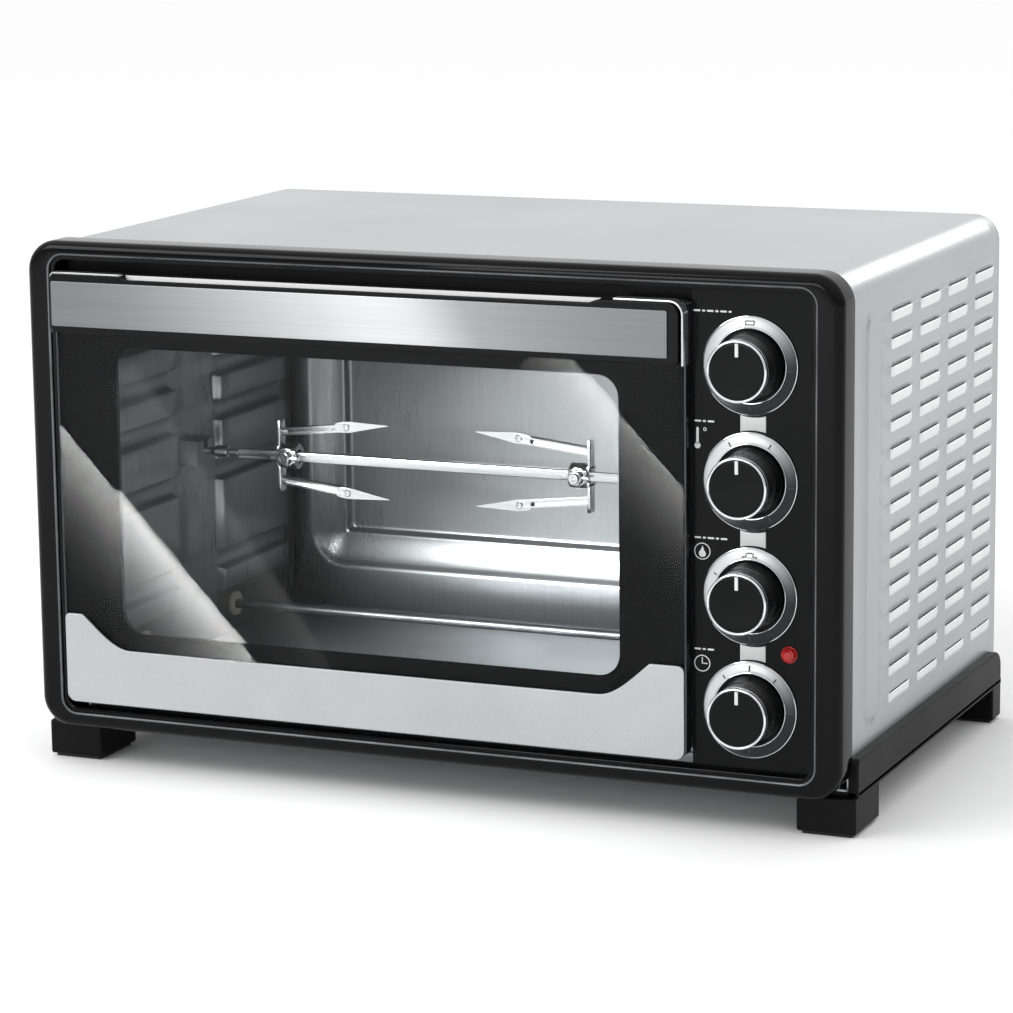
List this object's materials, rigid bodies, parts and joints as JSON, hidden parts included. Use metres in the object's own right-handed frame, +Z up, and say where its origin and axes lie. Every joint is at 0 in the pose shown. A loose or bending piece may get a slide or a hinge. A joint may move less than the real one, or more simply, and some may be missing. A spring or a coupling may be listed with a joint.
{
  "type": "rotisserie oven",
  "caption": "Countertop rotisserie oven with a drop-down glass door, a row of dial knobs beside it, a motor-driven spit with sliding forks, and louvred metal sides.",
  "frame": {"origin": "middle of the outline in width and depth, on the plane that the feet stand on", "axes": "+X to the right as seen from the front, +Y towards the back, +Z up; the door and knobs face -Y"},
  "size_m": [0.558, 0.3642, 0.346],
  "materials": {
    "casing_coat": "satin silver coating",
    "black_gloss": "gloss black",
    "panel_black": "semi-gloss black",
    "brushed_steel": "fine horizontal brushing",
    "satin_trim": "satin",
    "bright_chrome": "polished",
    "dial_silver": "spun satin",
    "clear_glass": "clear tempered",
    "glass_print": "fired black print",
    "red_lens": "clear red",
    "cavity_steel": "aluminised steel",
    "heater_sheath": "drawn sheath",
    "ceramic": "unglazed ceramic",
    "zinc_steel": "zinc plated",
    "phenolic": "moulded phenolic",
    "spit_steel": "plated",
    "knob_black": "gloss black",
    "runner_plastic": "fine grained black",
    "foot_rubber": "matte",
    "door_enamel": "black enamel",
    "copper": "drawn copper"
  },
  "bodies": {
    "cabinet": {"outer_casing": "casing_coat", "rear_cover": "zinc_steel", "base_plate": "zinc_steel", "front_bezel": "black_gloss", "control_panel": "panel_black", "dial_rings": "dial_silver", "pilot_lamp_lens": "red_lens", "pilot_lamp_holder": "ceramic", "cavity_left_wall": "cavity_steel", "cavity_right_wall": "cavity_steel", "cavity_back_wall": "cavity_steel", "cavity_ceiling": "cavity_steel", "cavity_floor": "cavity_steel", "upper_heaters": "heater_sheath", "lower_heaters": "heater_sheath", "heater_insulators": "ceramic", "spit_bracket": "spit_steel", "spit_motor": "zinc_steel", "fan_housing": "zinc_steel", "fan_motor": "zinc_steel", "function_switch": "phenolic", "thermostat": "zinc_steel", "selector_switch": "phenolic", "timer_mechanism": "zinc_steel", "thermostat_probe": "copper", "control_chassis": "zinc_steel", "left_runner": "runner_plastic", "right_runner": "runner_plastic", "foot_pads": "foot_rubber", "casing_screws": "zinc_steel", "cord_gland": "runner_plastic", "hinge_brackets": "zinc_steel", "hinge_springs": "spit_steel"},
    "door": {"door_glass": "clear_glass", "glass_mask": "glass_print", "door_inner_frame": "door_enamel", "handle_body": "black_gloss", "handle_plate": "brushed_steel", "door_trim": "satin_trim", "door_edge_strip": "satin_trim", "hinge_pins": "zinc_steel"},
    "function_control": {"function_knob": "knob_black", "function_knob_ring": "bright_chrome", "function_spindle": "zinc_steel"},
    "temperature_control": {"temperature_knob": "knob_black", "temperature_knob_ring": "bright_chrome", "temperature_spindle": "zinc_steel"},
    "selector_control": {"selector_knob": "knob_black", "selector_knob_ring": "bright_chrome", "selector_spindle": "zinc_steel"},
    "timer_control": {"timer_knob": "knob_black", "timer_knob_ring": "bright_chrome", "timer_spindle": "zinc_steel"},
    "spit": {"spit_shaft": "spit_steel", "drive_socket": "zinc_steel"},
    "left_fork": {"left_fork": "spit_steel"},
    "right_fork": {"right_fork": "spit_steel"},
    "left_fork_screw": {"left_fork_screw": "spit_steel"},
    "right_fork_screw": {"right_fork_screw": "spit_steel"},
    "fan": {"fan_blade": "zinc_steel"}
  },
  "joints": [
    {"name": "door_hinge", "type": "hinge", "parent": "cabinet", "child": "door", "pos_m": [0, -0.1567, 0.052], "axis": [1, 0, 0], "range_deg": [0, 90], "stiffness_Nm_per_rad": 1, "springref_deg": -22.92},
    {"name": "function_turn", "type": "hinge", "parent": "cabinet", "child": "function_control", "pos_m": [0.215, -0.1561, 0.2887], "axis": [0, 1, 0], "range_deg": [0, 270]},
    {"name": "temperature_turn", "type": "hinge", "parent": "cabinet", "child": "temperature_control", "pos_m": [0.215, -0.1561, 0.21847], "axis": [0, 1, 0], "range_deg": [0, 300]},
    {"name": "selector_turn", "type": "hinge", "parent": "cabinet", "child": "selector_control", "pos_m": [0.215, -0.1561, 0.14823], "axis": [0, 1, 0], "range_deg": [0, 270]},
    {"name": "timer_turn", "type": "hinge", "parent": "cabinet", "child": "timer_control", "pos_m": [0.215, -0.1561, 0.078], "axis": [0, 1, 0], "range_deg": [0, 320]},
    {"name": "spit_spin", "type": "hinge", "parent": "cabinet", "child": "spit", "pos_m": [0, -0.0141, 0.1865], "axis": [1, 0, 0], "continuous": true},
    {"name": "left_fork_slide", "type": "slide", "parent": "spit", "child": "left_fork", "axis": [1, 0, 0], "range_m": [-0.025, 0.05]},
    {"name": "right_fork_slide", "type": "slide", "parent": "spit", "child": "right_fork", "axis": [1, 0, 0], "range_m": [-0.05, 0.06]},
    {"name": "left_screw_turn", "type": "hinge", "parent": "left_fork", "child": "left_fork_screw", "pos_m": [-0.163, -0.0241, 0.1865], "axis": [0, -1, 0], "range_deg": [0, 360]},
    {"name": "right_screw_turn", "type": "hinge", "parent": "right_fork", "child": "right_fork_screw", "pos_m": [0.048, -0.0241, 0.1865], "axis": [0, -1, 0], "range_deg": [0, 360]},
    {"name": "fan_spin", "type": "hinge", "parent": "cabinet", "child": "fan", "pos_m": [0.18, 0.0759, 0.1865], "axis": [1, 0, 0], "continuous": true}
  ]
}
